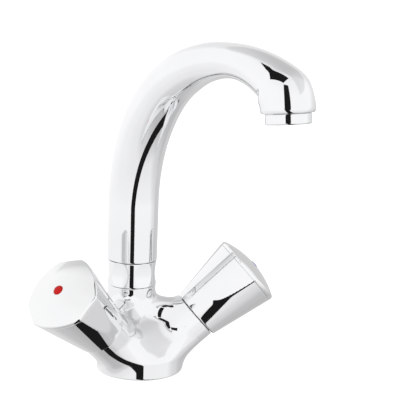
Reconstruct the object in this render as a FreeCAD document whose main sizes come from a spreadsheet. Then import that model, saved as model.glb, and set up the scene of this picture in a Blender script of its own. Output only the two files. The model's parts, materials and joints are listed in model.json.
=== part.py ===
import FreeCAD, Part
import math
import os

# Deck-mounted two-handle basin mixer with a swivelling swan-neck spout.
# Millimetres. Origin: centre of the underside of the base, on the basin's deck.
# +Z up, the spout reaches towards -Y (the user), hot handle at -X, cold handle at +X.

V = FreeCAD.Vector

doc = FreeCAD.newDocument("basin_mixer")
sheet = doc.addObject("Spreadsheet::Sheet", "dims")

DIMENSIONS = [
    # base and cast body
    ("base_radius", 26.0), ("base_wall", 9.0), ("base_chamfer", 0.8),
    ("column_back", 12.0), ("column_radius", 14.6), ("neck_start", 50.0), ("neck_end", 60.0),
    ("neck_radius", 12.4), ("socket_radius", 10.05), ("socket_floor", 33.0),
    ("hub_foot_radius", 25.8), ("hub_foot_height", 8.5), ("hub_waist_radius", 19.6),
    ("hub_waist_height", 20.0), ("hub_shoulder", 38.0),
    # arms and the valve bores along their axes
    ("arm_forward", 20.0), ("arm_rise", 41.0), ("arm_origin_y", 2.2), ("arm_origin_z", 0.6),
    ("arm_radius", 14.6), ("arm_end", 46.8), ("thread_bore_radius", 10.0), ("thread_bore_floor", 34.0),
    ("chamber_radius", 8.0), ("seat_height", 20.0), ("port_radius", 3.5), ("port_floor", 11.5),
    ("mixing_radius", 3.2), ("mixing_start", 25.0),
    # underside: supply inlets, fixing stud, gasket groove
    ("inlet_x", 9.5), ("inlet_y", -1.0), ("inlet_radius", 4.5), ("inlet_depth", 10.0),
    ("stud_y", 14.5), ("stud_radius", 3.4), ("stud_depth", 14.0),
    ("gasket_outer", 24.5), ("gasket_inner", 21.0), ("gasket_height", 2.0),
    # union nut and the sliding ring inside it
    ("nut_bottom", 50.3), ("nut_top", 65.3), ("nut_radius", 15.0), ("nut_flat", 14.2),
    ("nut_thread_radius", 12.5), ("nut_lip_bottom", 62.2), ("nut_lip_radius", 10.6),
    ("flat_bottom", 52.6), ("flat_top", 63.0),
    ("slide_ring_outer", 12.3), ("slide_ring_inner", 10.15), ("slide_ring_height", 0.6),
    # spout: stem, swan-neck and outlet
    ("stem_bottom", 36.0), ("stem_radius", 10.0), ("stem_bore", 6.5),
    ("stem_groove_radius", 8.25), ("stem_groove_width", 2.0),
    ("lower_groove", 39.0), ("upper_groove", 45.0),
    ("snap_groove_bottom", 60.3), ("snap_groove_height", 1.1), ("snap_groove_radius", 8.85),
    ("snap_ring_outer", 11.8), ("snap_ring_gap", 6.0),
    ("tube_start", 65.6), ("tube_straight", 34.0),
    ("bend_a_radius", 94.0), ("bend_a_end", 62.5), ("bend_b_radius", 121.5), ("bend_b_end", 88.0),
    ("bend_c_radius", 101.0), ("bend_c_end", 111.0), ("bend_d_radius", 16.5), ("bend_d_end", 171.5),
    ("head_straight", 1.0), ("wall", 2.8),
    ("radius_start", 15.0), ("radius_column", 15.1), ("radius_rise", 14.9), ("radius_shoulder", 12.95),
    ("radius_descent", 10.85), ("radius_top", 9.5), ("radius_neck", 12.0), ("radius_crown", 14.1),
    ("radius_head", 13.9), ("radius_rim", 13.65),
    # aerator, measured from the spout's rim along the outlet axis
    ("outlet_bore", 11.5), ("outlet_depth", 8.0), ("aerator_flange", 11.8), ("aerator_drop", 4.4),
    ("aerator_thread", 11.4), ("aerator_thread_height", 6.4), ("aerator_bore", 9.8),
    ("aerator_lip", 8.9), ("aerator_lip_height", 1.0), ("insert_radius", 9.7), ("insert_top", 5.6),
    ("insert_skin", 1.2), ("insert_bore", 8.4), ("jet_radius", 0.9), ("screen_height", 0.8),
    ("aerator_seal_inner", 8.2), ("aerator_seal_height", 1.5), ("wrench_flat", 11.3),
    ("inner_jets", 3.2), ("outer_jets", 6.2), ("screen_outer", 9.7), ("screen_middle", 6.9),
    ("screen_inner", 4.1), ("screen_hub", 1.3), ("screen_wire", 1.2), ("spoke_length", 18.8),
    ("spoke_width", 1.0),
    # headwork, along the arm axis
    ("seal_height", 0.8), ("seal_inner", 10.2), ("flange_radius", 12.8), ("flange_height", 1.4),
    ("hex_radius", 10.97), ("hex_height", 5.0), ("bonnet_neck_radius", 7.5), ("bonnet_neck_top", 60.0),
    ("bonnet_thread_radius", 9.95), ("bonnet_thread_bottom", 34.5),
    ("skirt_radius", 7.6), ("skirt_bottom", 28.0), ("guide_hex", 6.8), ("guide_roof", 44.0),
    ("spindle_bore", 4.05),
    # spindle, its seals and clip
    ("spindle_radius", 4.0), ("collar_radius", 5.4), ("collar_bottom", 42.0), ("collar_top", 43.7),
    ("lead_radius", 3.0), ("lead_bottom", 30.0), ("spline_radius", 3.9), ("spindle_top", 80.0),
    ("o_ring_groove_bottom", 50.0), ("o_ring_groove_height", 2.0), ("o_ring_groove_radius", 2.75),
    ("clip_bottom", 60.3), ("clip_height", 0.9), ("clip_groove_radius", 3.2), ("clip_outer", 5.4),
    ("screw_hole_radius", 1.65), ("screw_hole_depth", 12.0),
    # piston, washer and washer screw, closed on the seat
    ("piston_hex", 6.5), ("piston_top", 38.0), ("piston_disc_radius", 7.2), ("piston_disc_height", 1.5),
    ("washer_radius", 6.8), ("washer_height", 2.5), ("piston_bore", 3.05), ("piston_bore_floor", 26.2),
    ("washer_hole", 1.6), ("washer_screw_shank", 1.55), ("washer_screw_head", 2.7),
    ("washer_screw_head_height", 1.6), ("washer_screw_top", 25.6),
    # handle
    ("handle_start", 47.5), ("handle_base_radius", 15.8), ("handle_rim_radius", 21.6),
    ("lobe_offset", 12.06), ("flat_distance", 22.3), ("flat_lean", 6.7),
    ("cap_joint", 87.0), ("rim_height", 89.5), ("apex_height", 94.3),
    ("rim_room", 5.0), ("flat_block", 20.0),
    ("skirt_cavity", 13.4), ("cavity_roof", 68.0), ("hub_floor", 62.5), ("hub_radius", 7.0),
    ("hub_bore_top", 80.2), ("screw_clearance", 2.1), ("counterbore_radius", 5.0),
    ("counterbore_floor", 82.5), ("handle_screw_head", 3.5), ("handle_screw_head_height", 2.6),
    ("handle_screw_shank", 1.6), ("handle_screw_length", 11.0),
    ("index_radius", 2.8), ("index_depth", 1.4),
    ("cap_plug_radius", 4.9), ("cap_plug_height", 1.5),
]
for row, (alias, value) in enumerate(DIMENSIONS, start=1):
    sheet.set("A%d" % row, alias)
    sheet.set("B%d" % row, repr(value))
    sheet.setAlias("B%d" % row, alias)
doc.recompute()


def size(alias):
    """The value of a driving dimension."""
    return float(sheet.get(alias))


def bind(obj, **sizes):
    """Bind properties of an object to expressions in the driving dimensions."""
    for prop, expression in sizes.items():
        obj.setExpression(prop, expression)
    return obj


def dim(expression):
    """Write an expression in the sheet's aliases, each marked as @alias."""
    return expression.replace("@", "dims.")


def cylinder(name, radius, height, base="0"):
    """A cylinder on +Z whose foot is at height base."""
    obj = doc.addObject("Part::Cylinder", name)
    bind(obj, Radius=dim(radius), Height=dim(height))
    obj.setExpression("Placement.Base.z", dim(base))
    return obj


def cone(name, lower, upper, height, base="0"):
    """A cone frustum on +Z whose foot is at height base."""
    obj = doc.addObject("Part::Cone", name)
    bind(obj, Radius1=dim(lower), Radius2=dim(upper), Height=dim(height))
    obj.setExpression("Placement.Base.z", dim(base))
    return obj


def hexagon(name, corner_radius, height, base="0"):
    """A hexagonal prism on +Z, sized across its corners."""
    obj = doc.addObject("Part::Prism", name)
    obj.Polygon = 6
    bind(obj, Circumradius=dim(corner_radius), Height=dim(height))
    obj.setExpression("Placement.Base.z", dim(base))
    return obj


def ring(name, ring_radius, section_radius, height):
    """A round ring lying flat, centred at a height on +Z."""
    obj = doc.addObject("Part::Torus", name)
    bind(obj, Radius1=dim(ring_radius), Radius2=dim(section_radius))
    obj.setExpression("Placement.Base.z", dim(height))
    return obj


def fuse(name, shapes):
    obj = doc.addObject("Part::MultiFuse", name)
    obj.Shapes = shapes
    return obj


def cut(name, base, tool):
    obj = doc.addObject("Part::Cut", name)
    obj.Base = base
    obj.Tool = tool
    return obj


def common(name, first, second):
    obj = doc.addObject("Part::Common", name)
    obj.Base = first
    obj.Tool = second
    return obj


NODES = []


def node(obj, label, placement=None):
    """Name a finished sub-part, place it, and list it for export."""
    obj.Label = label
    if placement is not None:
        obj.Placement = placement
    NODES.append(obj)
    return obj


def arm_placement(side, turn=0.0):
    """Placement that puts local +Z on a valve arm's axis; side is -1 for hot, +1 for cold."""
    forward = math.radians(size("arm_forward"))
    rise = math.radians(size("arm_rise"))
    axis = V(side * math.cos(rise) * math.cos(forward), -math.cos(rise) * math.sin(forward), math.sin(rise))
    level = V(0, 0, 1).cross(axis).normalize()
    upward = axis.cross(level)
    matrix = FreeCAD.Matrix(level.x, upward.x, axis.x, 0,
                            level.y, upward.y, axis.y, size("arm_origin_y"),
                            level.z, upward.z, axis.z, size("arm_origin_z"),
                            0, 0, 0, 1)
    about_axis = FreeCAD.Placement(V(0, 0, 0), FreeCAD.Rotation(V(0, 0, 1), turn))
    return FreeCAD.Placement(matrix).multiply(about_axis)


def drill(name, start, end, radius):
    """A straight drilling between two points."""
    direction = end - start
    obj = doc.addObject("Part::Cylinder", name)
    bind(obj, Radius=dim(radius))
    obj.Height = direction.Length
    obj.Placement = FreeCAD.Placement(start, FreeCAD.Rotation(V(0, 0, 1), direction))
    return obj


def along(side, height):
    """A point on a valve arm's axis."""
    return arm_placement(side).multVec(V(0, 0, height))


SIDES = [("hot", -1), ("cold", 1)]
# How far each handle happens to be turned when its valve is closed, in degrees about its axis.
HANDLE_TURN = {"hot": 349.0, "cold": 161.0}


# ---------------------------------------------------------------- cast body

def make_body():
    base = cylinder("base_disc", "@base_radius", "@base_wall")
    trimmed = doc.addObject("Part::Chamfer", "base_trim")
    trimmed.Base = base
    chamfer = size("base_chamfer")
    trimmed.Edges = [(3, chamfer, chamfer)]
    hub = doc.addObject("Part::Loft", "hub")
    outlines = []
    for name, radius, back, height in (
            ("hub_foot", "@hub_foot_radius", "0", "@hub_foot_height"),
            ("hub_waist", "@hub_waist_radius", "@column_back / 2", "@hub_waist_height"),
            ("hub_top", "@column_radius", "@column_back", "@hub_shoulder")):
        outline = doc.addObject("Part::Circle", name)
        bind(outline, Radius=dim(radius))
        outline.setExpression("Placement.Base.y", dim(back))
        outline.setExpression("Placement.Base.z", dim(height))
        outlines.append(outline)
    hub.Sections = outlines
    hub.Solid = True
    column = cylinder("column", "@column_radius", "@neck_start - @hub_shoulder", "@hub_shoulder")
    neck = cylinder("neck", "@neck_radius", "@neck_end - @hub_shoulder", "@hub_shoulder")
    for piece in (column, neck):
        piece.setExpression("Placement.Base.y", dim("@column_back"))
    arms = []
    bores = []
    for side, sign in SIDES:
        arm = doc.addObject("Part::Compound", side + "_arm")
        arm.Links = [cylinder(side + "_arm_bar", "@arm_radius", "@arm_end")]
        arm.Placement = arm_placement(sign)
        arms.append(arm)
        bore = fuse(side + "_valve_bore", [
            cylinder(side + "_thread_bore", "@thread_bore_radius", "@arm_end - @thread_bore_floor + 1",
                     "@thread_bore_floor"),
            cylinder(side + "_chamber", "@chamber_radius", "@thread_bore_floor - @seat_height + 0.1",
                     "@seat_height"),
            cylinder(side + "_port", "@port_radius", "@seat_height - @port_floor + 0.1", "@port_floor")])
        bore.Placement = arm_placement(sign)
        bores.append(bore)
        inlet = cylinder(side + "_inlet", "@inlet_radius", "@inlet_depth")
        inlet.setExpression("Placement.Base.x", dim("%d * @inlet_x" % sign))
        inlet.setExpression("Placement.Base.y", dim("@inlet_y"))
        bores.append(inlet)
        mixing_end = V(0, size("column_back"), size("socket_floor") + 1.0)
        bores.append(drill(side + "_mixing_way", along(sign, size("mixing_start")), mixing_end,
                           "@mixing_radius"))
    socket = cylinder("socket", "@socket_radius", "@neck_end - @socket_floor + 1", "@socket_floor")
    socket.setExpression("Placement.Base.y", dim("@column_back"))
    stud_hole = cylinder("stud_hole", "@stud_radius", "@stud_depth")
    stud_hole.setExpression("Placement.Base.y", dim("@stud_y"))
    groove = cut("gasket_groove",
                 cylinder("groove_outer", "@gasket_outer", "@gasket_height"),
                 cylinder("groove_inner", "@gasket_inner", "@gasket_height"))
    above_deck = cylinder("above_deck", "@arm_end + @arm_radius", "@neck_end")
    solid = common("body_solid", fuse("body_blank", [trimmed, hub, column, neck] + arms), above_deck)
    ways = fuse("waterways", bores + [socket, stud_hole, groove])
    node(cut("mixer_body_cut", solid, ways), "mixer_body")


def make_base_gasket():
    node(cut("base_gasket_cut",
             cylinder("gasket_disc", "@gasket_outer", "@gasket_height"),
             cylinder("gasket_hole", "@gasket_inner", "@gasket_height")), "base_gasket")


# ---------------------------------------------------------------- spout clamp

def column_placement():
    return FreeCAD.Placement(V(0, size("column_back"), 0), FreeCAD.Rotation())


def make_union_nut():
    round_part = cylinder("nut_round", "@nut_radius", "@nut_top - @nut_bottom", "@nut_bottom")
    keep = fuse("nut_keep", [
        hexagon("nut_flats", "@nut_flat / cos(30)", "@nut_top - @nut_bottom", "@nut_bottom"),
        cylinder("nut_lower_land", "@nut_radius", "@flat_bottom - @nut_bottom", "@nut_bottom"),
        cylinder("nut_upper_land", "@nut_radius", "@nut_top - @flat_top", "@flat_top")])
    outside = common("nut_outside", round_part, keep)
    inside = fuse("nut_inside", [
        cylinder("nut_thread", "@nut_thread_radius", "@nut_lip_bottom - @nut_bottom", "@nut_bottom"),
        cylinder("nut_lip", "@nut_lip_radius", "@nut_top - @nut_bottom", "@nut_bottom")])
    node(cut("union_nut_cut", outside, inside), "spout_union_nut", column_placement())


def make_slide_ring():
    base = "@nut_lip_bottom - @slide_ring_height"
    node(cut("slide_ring_cut",
             cylinder("slide_ring_disc", "@slide_ring_outer", "@slide_ring_height", base),
             cylinder("slide_ring_hole", "@slide_ring_inner", "@slide_ring_height", base)),
         "spout_slide_ring", column_placement())


def make_snap_ring():
    disc = cylinder("snap_disc", "@snap_ring_outer", "@snap_groove_height", "@snap_groove_bottom")
    hole = cylinder("snap_hole", "@snap_groove_radius + 0.05", "@snap_groove_height", "@snap_groove_bottom")
    gap = doc.addObject("Part::Box", "snap_gap")
    bind(gap, Length=dim("@snap_ring_gap"), Width=dim("@snap_ring_outer + 1"),
         Height=dim("@snap_groove_height"))
    gap.setExpression("Placement.Base.x", dim("-@snap_ring_gap / 2"))
    gap.setExpression("Placement.Base.z", dim("@snap_groove_bottom"))
    node(cut("snap_ring_cut", disc, fuse("snap_void", [hole, gap])), "spout_snap_ring", column_placement())


def make_spout_o_rings():
    radius = "(@stem_radius + @stem_groove_radius) / 2"
    section = "(@stem_radius - @stem_groove_radius) / 2"
    rings = doc.addObject("Part::Compound", "spout_o_ring_pair")
    rings.Links = [ring(name, radius, section, "@%s + @stem_groove_width / 2" % name)
                   for name in ("lower_groove", "upper_groove")]
    node(rings, "spout_o_rings", column_placement())


# ---------------------------------------------------------------- spout

def spout_path():
    """Stations along the spout's centre line: distance, point and heading from the vertical."""
    bends = [("bend_a_radius", "bend_a_end", 6), ("bend_b_radius", "bend_b_end", 4),
             ("bend_c_radius", "bend_c_end", 3), ("bend_d_radius", "bend_d_end", 4)]
    here = V(0, size("column_back"), size("tube_start"))
    stations = []
    for share in (0.0, 0.5, 1.0):
        stations.append((share * size("tube_straight"), here + V(0, 0, share * size("tube_straight")), 0.0))
    here = stations[-1][1]
    travelled = size("tube_straight")
    heading = 0.0
    for radius_name, end_name, steps in bends:
        radius = size(radius_name)
        end = size(end_name)
        start_angle = math.radians(heading)
        centre = here - V(0, math.cos(start_angle), math.sin(start_angle)) * radius
        for step in range(1, steps + 1):
            angle = math.radians(heading + (end - heading) * step / steps)
            point = centre + V(0, math.cos(angle), math.sin(angle)) * radius
            stations.append((travelled + radius * (angle - start_angle), point, math.degrees(angle)))
        travelled, here, heading = stations[-1]
    angle = math.radians(heading)
    rim = here + V(0, -math.sin(angle), math.cos(angle)) * size("head_straight")
    stations.append((travelled + size("head_straight"), rim, heading))
    return stations


# The outside radius is set where each stretch of the centre line begins and ends.
RADIUS_MARKS = [(0, "radius_start"), (2, "radius_column"), (5, "radius_rise"), (8, "radius_shoulder"),
                (10, "radius_descent"), (12, "radius_top"), (15, "radius_neck"), (17, "radius_crown"),
                (19, "radius_head"), (20, "radius_rim")]


def radius_expression(index, stations):
    """Outside radius at a station, as an expression between the two marks around it."""
    for (first, first_name), (last, last_name) in zip(RADIUS_MARKS, RADIUS_MARKS[1:]):
        if first <= index <= last:
            share = (stations[index][0] - stations[first][0]) / (stations[last][0] - stations[first][0])
            return "@%s + (@%s - @%s) * %.4f" % (first_name, last_name, first_name, share)
    raise ValueError("no radius mark around station %d" % index)


def loft_along(name, stations, chosen, inset):
    """A smooth solid through circles square to the centre line."""
    circles = []
    for index in chosen:
        _, point, heading = stations[index]
        circle = doc.addObject("Part::Circle", "%s_%02d" % (name, index))
        bind(circle, Radius=dim(radius_expression(index, stations) + inset))
        circle.Placement = FreeCAD.Placement(point, FreeCAD.Rotation(V(1, 0, 0), heading))
        circles.append(circle)
    loft = doc.addObject("Part::Loft", name)
    loft.Sections = circles
    loft.Solid = True
    return loft


def outlet_placement():
    """Local +Z points up into the spout from the centre of its rim."""
    _, rim, heading = spout_path()[-1]
    return FreeCAD.Placement(rim, FreeCAD.Rotation(V(1, 0, 0), heading + 180.0))


def make_spout():
    stations = spout_path()
    last = len(stations) - 1
    outside = loft_along("spout_outside", stations, range(0, last + 1), "")
    waterway = loft_along("spout_waterway", stations, range(1, last), " - @wall")
    stem = cylinder("stem", "@stem_radius", "@tube_start - @stem_bottom + 1", "@stem_bottom")
    grooves = []
    for name, base, height, radius in (
            ("lower", "@lower_groove", "@stem_groove_width", "@stem_groove_radius"),
            ("upper", "@upper_groove", "@stem_groove_width", "@stem_groove_radius"),
            ("snap", "@snap_groove_bottom", "@snap_groove_height", "@snap_groove_radius")):
        grooves.append(cut(name + "_stem_groove",
                           cylinder(name + "_groove_outer", "@stem_radius + 1", height, base),
                           cylinder(name + "_groove_root", radius, height, base)))
    bore = cylinder("stem_bore_tool", "@stem_bore", "@tube_start + @tube_straight / 2 + 1 - @stem_bottom",
                    "@stem_bottom")
    for piece in [stem, bore] + grooves:
        piece.Placement = FreeCAD.Placement(V(0, size("column_back"), piece.Placement.Base.z),
                                            FreeCAD.Rotation())
    outlet = doc.addObject("Part::Compound", "outlet_bore_tool")
    outlet.Links = [cylinder("outlet_thread", "@outlet_bore", "@outlet_depth + 1", "-1")]
    outlet.Placement = outlet_placement()
    node(cut("spout_cut", fuse("spout_solid", [outside, stem]),
             fuse("spout_voids", [waterway, bore, outlet] + grooves)), "spout")


def make_aerator():
    shell = fuse("aerator_shell", [
        aerator_flange(),
        cylinder("aerator_thread_part", "@aerator_thread", "@aerator_thread_height")])
    hollow = fuse("aerator_hollow", [
        cylinder("aerator_lip_hole", "@aerator_lip", "@aerator_drop + 1", "-@aerator_drop"),
        cylinder("aerator_cavity", "@aerator_bore",
                 "@aerator_drop - @aerator_lip_height + @aerator_thread_height",
                 "@aerator_lip_height - @aerator_drop")])
    node(cut("aerator_housing_cut", shell, hollow), "aerator_housing", outlet_placement())
    insert_base = "@aerator_lip_height - @aerator_drop + @screen_height"
    insert_height = "@insert_top - (%s)" % insert_base
    body = cut("insert_cup",
               cylinder("insert_outside", "@insert_radius", insert_height, insert_base),
               cylinder("insert_inside", "@insert_bore", insert_height + " - @insert_skin", insert_base))
    jets = []
    for count, radius in ((1, 0.0), (6, size("inner_jets")), (12, size("outer_jets"))):
        for index in range(count):
            jet = cylinder("jet_%d_%d" % (count, index), "@jet_radius", "@insert_skin + 2",
                           "@insert_top - @insert_skin - 1")
            angle = 2.0 * math.pi * index / count
            jet.Placement.Base = V(radius * math.cos(angle), radius * math.sin(angle), jet.Placement.Base.z)
            jet.setExpression("Placement.Base.z", dim("@insert_top - @insert_skin - 1"))
            jets.append(jet)
    node(cut("aerator_insert_cut", body, fuse("jets", jets)), "aerator_insert", outlet_placement())
    make_screen()
    seal_base = "@aerator_thread_height"
    node(cut("aerator_seal_cut",
             cylinder("seal_disc", "@aerator_thread - 0.1", "@aerator_seal_height", seal_base),
             cylinder("seal_hole", "@aerator_seal_inner", "@aerator_seal_height", seal_base)),
         "aerator_seal", outlet_placement())


def aerator_flange():
    """The visible flange of the aerator, with eight flats for a wrench."""
    disc = cylinder("aerator_flange_disc", "@aerator_flange", "@aerator_drop", "-@aerator_drop")
    flats = doc.addObject("Part::Prism", "aerator_flats")
    flats.Polygon = 8
    bind(flats, Circumradius=dim("@wrench_flat / cos(22.5)"), Height=dim("@aerator_drop"))
    flats.setExpression("Placement.Base.z", dim("-@aerator_drop"))
    return common("aerator_flange", disc, flats)


def make_screen():
    """The wire screen at the outlet: rings joined by spokes."""
    pieces = [cylinder("screen_hub", "@screen_hub", "@screen_height")]
    for name in ("screen_outer", "screen_middle", "screen_inner"):
        pieces.append(cut(name + "_ring",
                          cylinder(name + "_disc", "@" + name, "@screen_height"),
                          cylinder(name + "_hole", "@%s - @screen_wire" % name, "@screen_height")))
    for index in range(4):
        spoke = doc.addObject("Part::Box", "spoke_%d" % index)
        bind(spoke, Length=dim("@spoke_length"), Width=dim("@spoke_width"), Height=dim("@screen_height"))
        turn = FreeCAD.Rotation(V(0, 0, 1), 45.0 * index)
        corner = V(-size("spoke_length") / 2, -size("spoke_width") / 2, 0)
        spoke.Placement = FreeCAD.Placement(turn.multVec(corner), turn)
        pieces.append(spoke)
    placement = outlet_placement()
    lift = placement.Rotation.multVec(V(0, 0, size("aerator_lip_height") - size("aerator_drop")))
    node(fuse("screen_fuse", pieces), "aerator_screen",
         FreeCAD.Placement(placement.Base + lift, placement.Rotation))


# ---------------------------------------------------------------- valves

def make_headwork(side, sign):
    solid = fuse(side + "_headwork_solid", [
        cylinder(side + "_bonnet_thread", "@bonnet_thread_radius",
                 "@arm_end + @seal_height - @bonnet_thread_bottom", "@bonnet_thread_bottom"),
        cylinder(side + "_bonnet_skirt", "@skirt_radius", "@bonnet_thread_bottom - @skirt_bottom + 1",
                 "@skirt_bottom"),
        cylinder(side + "_bonnet_flange", "@flange_radius", "@flange_height", "@arm_end + @seal_height"),
        hexagon(side + "_bonnet_hex", "@hex_radius", "@hex_height",
                "@arm_end + @seal_height + @flange_height"),
        cylinder(side + "_bonnet_neck", "@bonnet_neck_radius", "@bonnet_neck_top - @arm_end", "@arm_end")])
    hollow = fuse(side + "_headwork_hollow", [
        hexagon(side + "_guide", "@guide_hex", "@guide_roof - @skirt_bottom", "@skirt_bottom"),
        cylinder(side + "_spindle_bore", "@spindle_bore", "@bonnet_neck_top - @skirt_bottom",
                 "@skirt_bottom")])
    node(cut(side + "_headwork_cut", solid, hollow), side + "_headwork", arm_placement(sign))
    node(cut(side + "_seal_cut",
             cylinder(side + "_seal_disc", "@flange_radius", "@seal_height", "@arm_end"),
             cylinder(side + "_seal_hole", "@seal_inner", "@seal_height", "@arm_end")),
         side + "_headwork_seal", arm_placement(sign))


def make_spindle(side, sign):
    solid = fuse(side + "_spindle_solid", [
        cylinder(side + "_lead_screw", "@lead_radius", "@collar_bottom - @lead_bottom + 0.5",
                 "@lead_bottom"),
        cylinder(side + "_collar", "@collar_radius", "@collar_top - @collar_bottom", "@collar_bottom"),
        cylinder(side + "_shaft", "@spindle_radius", "@clip_bottom + @clip_height + 0.5 - @collar_bottom",
                 "@collar_bottom"),
        cylinder(side + "_splines", "@spline_radius", "@spindle_top - @clip_bottom", "@clip_bottom")])
    grooves = []
    for name, base, height, radius in (
            ("o_ring", "@o_ring_groove_bottom", "@o_ring_groove_height", "@o_ring_groove_radius"),
            ("clip", "@clip_bottom", "@clip_height", "@clip_groove_radius")):
        grooves.append(cut("%s_%s_groove" % (side, name),
                           cylinder("%s_%s_groove_outer" % (side, name), "@spindle_radius + 1", height,
                                    base),
                           cylinder("%s_%s_groove_root" % (side, name), radius, height, base)))
    tapped = cylinder(side + "_tapped_hole", "@screw_hole_radius", "@screw_hole_depth + 1",
                      "@spindle_top - @screw_hole_depth")
    node(cut(side + "_spindle_cut", solid, fuse(side + "_spindle_voids", grooves + [tapped])),
         side + "_spindle", arm_placement(sign))
    o_ring = doc.addObject("Part::Compound", side + "_o_ring_group")
    o_ring.Links = [ring(side + "_o_ring", "(@spindle_radius + @o_ring_groove_radius) / 2",
                         "(@spindle_radius - @o_ring_groove_radius) / 2",
                         "@o_ring_groove_bottom + @o_ring_groove_height / 2")]
    node(o_ring, side + "_spindle_o_ring", arm_placement(sign))
    gap = doc.addObject("Part::Box", side + "_clip_gap")
    bind(gap, Length=dim("@clip_outer * 0.8"), Width=dim("@clip_outer + 1"), Height=dim("@clip_height"))
    gap.setExpression("Placement.Base.x", dim("-@clip_outer * 0.4"))
    gap.setExpression("Placement.Base.z", dim("@clip_bottom"))
    node(cut(side + "_clip_cut",
             cylinder(side + "_clip_disc", "@clip_outer", "@clip_height", "@clip_bottom"),
             fuse(side + "_clip_void", [
                 cylinder(side + "_clip_hole", "@clip_groove_radius + 0.03", "@clip_height",
                          "@clip_bottom"), gap])),
         side + "_spindle_clip", arm_placement(sign))


def make_piston(side, sign):
    disc_base = "@seat_height + @washer_height"
    solid = fuse(side + "_piston_solid", [
        cylinder(side + "_piston_disc", "@piston_disc_radius", "@piston_disc_height", disc_base),
        hexagon(side + "_piston_hex", "@piston_hex", "@piston_top - @seat_height - @washer_height",
                disc_base)])
    hollow = fuse(side + "_piston_hollow", [
        cylinder(side + "_piston_bore", "@piston_bore", "@piston_top - @piston_bore_floor",
                 "@piston_bore_floor"),
        cylinder(side + "_piston_screw_hole", "@washer_hole", "@piston_bore_floor - @seat_height",
                 "@seat_height")])
    node(cut(side + "_piston_cut", solid, hollow), side + "_valve_piston", arm_placement(sign))
    node(cut(side + "_washer_cut",
             cylinder(side + "_washer_disc", "@washer_radius", "@washer_height", "@seat_height"),
             cylinder(side + "_washer_hole_tool", "@washer_hole", "@washer_height", "@seat_height")),
         side + "_seat_washer", arm_placement(sign))
    node(fuse(side + "_washer_screw_solid", [
        cylinder(side + "_washer_screw_head", "@washer_screw_head", "@washer_screw_head_height",
                 "@seat_height - @washer_screw_head_height"),
        cylinder(side + "_washer_screw_shank", "@washer_screw_shank", "@washer_screw_top - @seat_height",
                 "@seat_height")]),
         side + "_washer_screw", arm_placement(sign))


# ---------------------------------------------------------------- handles

def dome_limit(name):
    """Everything under the domed face of the handle, out past its rim."""
    ball = doc.addObject("Part::Sphere", name + "_ball")
    rise = "(@apex_height - @rim_height)"
    radius = "((%s * %s + @flat_distance * @flat_distance) / (2 * %s))" % (rise, rise, rise)
    bind(ball, Radius=dim(radius))
    ball.setExpression("Placement.Base.z", dim("@apex_height - " + radius))
    return common(name, ball, cylinder(name + "_column", "@flat_distance + @rim_room", "@apex_height"))


def lobe_side(name, direction):
    """A cone that flares away from the skirt's circle, its rim circle shifted against a direction."""
    flare = "((@apex_height - @handle_start) / (@rim_height - @handle_start))"
    foot = doc.addObject("Part::Circle", name + "_foot")
    bind(foot, Radius=dim("@handle_base_radius"))
    foot.setExpression("Placement.Base.z", dim("@handle_start"))
    top = doc.addObject("Part::Circle", name + "_top")
    bind(top, Radius=dim("@handle_base_radius + (@handle_rim_radius + @lobe_offset - @handle_base_radius)"
                         " * " + flare))
    for axis, share in (("x", math.cos(direction)), ("y", math.sin(direction))):
        top.setExpression("Placement.Base." + axis, dim("%.6f * @lobe_offset * %s" % (-share, flare)))
    top.setExpression("Placement.Base.z", dim("@apex_height"))
    side = doc.addObject("Part::Loft", name)
    side.Sections = [foot, top]
    side.Solid = True
    side.Ruled = True
    return side


def lobe_flat(name, direction):
    """A block that trims a lobe to a flat, widest at the rim and running out towards the skirt."""
    block = doc.addObject("Part::Box", name)
    bind(block, Length=dim("@flat_block"), Width=dim("2 * @flat_block"), Height=dim("3 * @flat_block"))
    lean = FreeCAD.Rotation(V(0, 1, 0), size("flat_lean"))
    turn = FreeCAD.Rotation(V(0, 0, 1), math.degrees(direction))
    at_rim = V(size("flat_distance"), 0, size("rim_height"))
    corner = at_rim + lean.multVec(V(0, -size("flat_block"), -2 * size("flat_block")))
    block.Placement = FreeCAD.Placement(turn.multVec(corner), turn.multiply(lean))
    return block


def handle_outside(name):
    """The full outside of shell and cap: a round skirt flaring to three lobes, each with a flat."""
    third = 2 * math.pi / 3
    sides = [lobe_side("%s_side_%d" % (name, i), third * (i + 0.5)) for i in range(3)]
    flats = [lobe_flat("%s_flat_%d" % (name, i), third * i) for i in range(3)]
    flare = common(name + "_flare", common(name + "_two_sides", sides[0], sides[1]), sides[2])
    trimmed = cut(name + "_trimmed", flare, fuse(name + "_flats", flats))
    return common(name, trimmed, dome_limit(name + "_dome"))


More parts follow.
